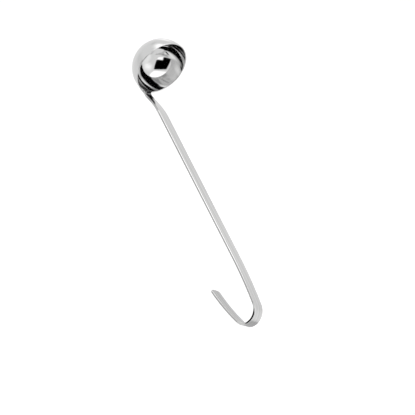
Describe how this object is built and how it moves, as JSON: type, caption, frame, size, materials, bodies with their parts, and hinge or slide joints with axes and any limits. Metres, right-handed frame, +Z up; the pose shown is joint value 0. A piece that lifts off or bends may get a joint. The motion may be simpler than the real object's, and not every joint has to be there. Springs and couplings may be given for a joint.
{
  "type": "soup ladle",
  "caption": "Small one-portion soup ladle: a round drawn bowl with a flat strip handle that narrows to a neck, runs flush into the bowl's inside at the rim, leans back and ends in a rail hook.",
  "frame": {"origin": "centre of the round bend of the hook, where the rail's axis runs when the ladle hangs", "axes": "+Z up with the bowl's rim level, +X from the hook toward the bowl, +Y across the strip, along the rail"},
  "size_m": [0.166, 0.0624, 0.3326],
  "materials": {
    "polished_steel": "mirror-polished stainless steel, with faint polishing lines along the strip and round the bowl",
    "weld_steel": "stainless steel, dull where the electrodes pressed"
  },
  "bodies": {
    "root": {"bowl": "polished_steel", "handle": "polished_steel", "spot_welds": "weld_steel"}
  },
  "joints": []
}
